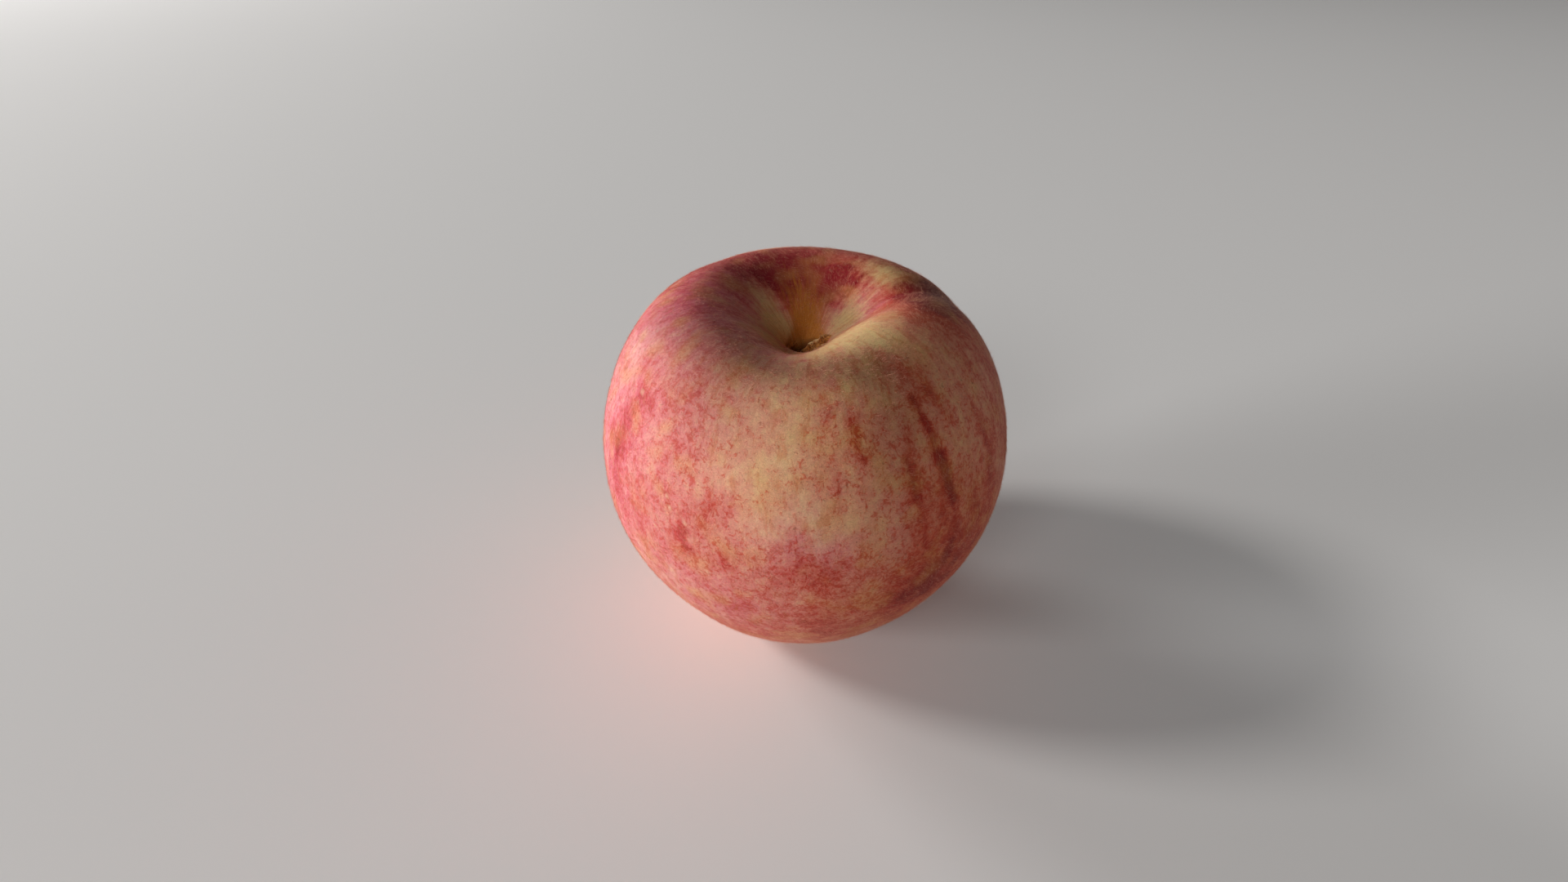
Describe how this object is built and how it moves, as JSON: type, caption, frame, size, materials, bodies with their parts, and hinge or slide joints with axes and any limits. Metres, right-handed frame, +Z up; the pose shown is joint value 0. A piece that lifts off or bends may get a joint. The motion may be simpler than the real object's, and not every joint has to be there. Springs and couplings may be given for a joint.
{
  "type": "peach",
  "caption": "Whole ripe downy peach with an empty stem cavity, standing on a small flat spot at its blossom end.",
  "frame": {"origin": "on the surface it rests on, under the middle of the fruit's box", "axes": "+Z up through the stem cavity; +Y away from the viewer of the picture; +X to the right, where the seam crosses the shoulder"},
  "size_m": [0.0706, 0.071, 0.0672],
  "materials": {
    "skin": "matt, downy, cream flushed with rose and crimson",
    "scar": "rough, torn, dry",
    "down": "short pale hairs"
  },
  "bodies": {
    "root": {"peach": "skin"}
  },
  "joints": []
}
